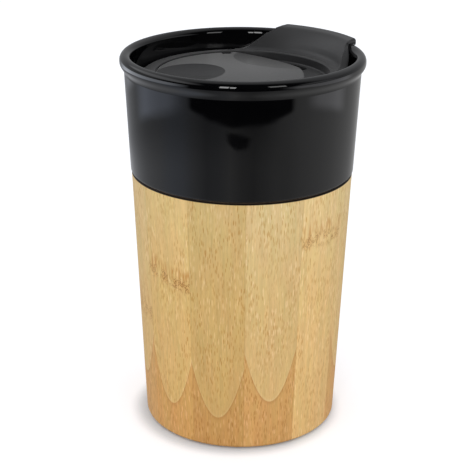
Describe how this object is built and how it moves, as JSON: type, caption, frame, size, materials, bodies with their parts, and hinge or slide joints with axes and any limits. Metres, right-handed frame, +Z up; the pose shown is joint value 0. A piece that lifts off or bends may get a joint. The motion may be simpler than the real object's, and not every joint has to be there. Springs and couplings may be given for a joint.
{
  "type": "coffee cup with lid",
  "caption": "Ceramic coffee cup in a turned bamboo sleeve, with a push-in lid that has a leaning spout and a turning closure dial.",
  "frame": {"origin": "centre of the foot pad's underside, on the cup's axis", "axes": "+Z up along the cup's axis, +X towards the drinking spout"},
  "size_m": [0.0911, 0.09, 0.1453],
  "materials": {
    "glaze": "gloss",
    "bamboo_outer": "clear satin",
    "bamboo_inner": "clear satin",
    "bamboo_disc": "clear satin",
    "seal": "matt",
    "pad": "matt",
    "lid_plastic": "fine matt",
    "dial_plastic": "fine matt",
    "gasket": "satin silicone",
    "dial_silicone": "satin silicone",
    "retainer_plastic": "fine matt"
  },
  "bodies": {
    "cup": {"ceramic_cup": "glaze", "joint_seal": "seal", "base_disc": "bamboo_disc", "foot_pad": "pad", "stave_outer_01": "bamboo_outer", "stave_outer_02": "bamboo_outer", "stave_outer_03": "bamboo_outer", "stave_outer_04": "bamboo_outer", "stave_outer_05": "bamboo_outer", "stave_outer_06": "bamboo_outer", "stave_outer_07": "bamboo_outer", "stave_outer_08": "bamboo_outer", "stave_outer_09": "bamboo_outer", "stave_outer_10": "bamboo_outer", "stave_outer_11": "bamboo_outer", "stave_outer_12": "bamboo_outer", "stave_inner_01": "bamboo_inner", "stave_inner_02": "bamboo_inner", "stave_inner_03": "bamboo_inner", "stave_inner_04": "bamboo_inner", "stave_inner_05": "bamboo_inner", "stave_inner_06": "bamboo_inner", "stave_inner_07": "bamboo_inner", "stave_inner_08": "bamboo_inner", "stave_inner_09": "bamboo_inner", "stave_inner_10": "bamboo_inner", "stave_inner_11": "bamboo_inner", "stave_inner_12": "bamboo_inner"},
    "lid": {"lid_body": "lid_plastic", "lid_gasket": "gasket"},
    "dial": {"dial": "dial_plastic", "dial_seal": "dial_silicone", "dial_retainer": "retainer_plastic"}
  },
  "joints": [
    {"name": "lid_lift", "type": "slide", "parent": "cup", "child": "lid", "axis": [0, 0, 1], "range_m": [0, 0.03]},
    {"name": "dial_turn", "type": "hinge", "parent": "lid", "child": "dial", "pos_m": [0, 0, 0.1334], "axis": [0, 0, 1], "range_deg": [-80, 27.6]}
  ]
}
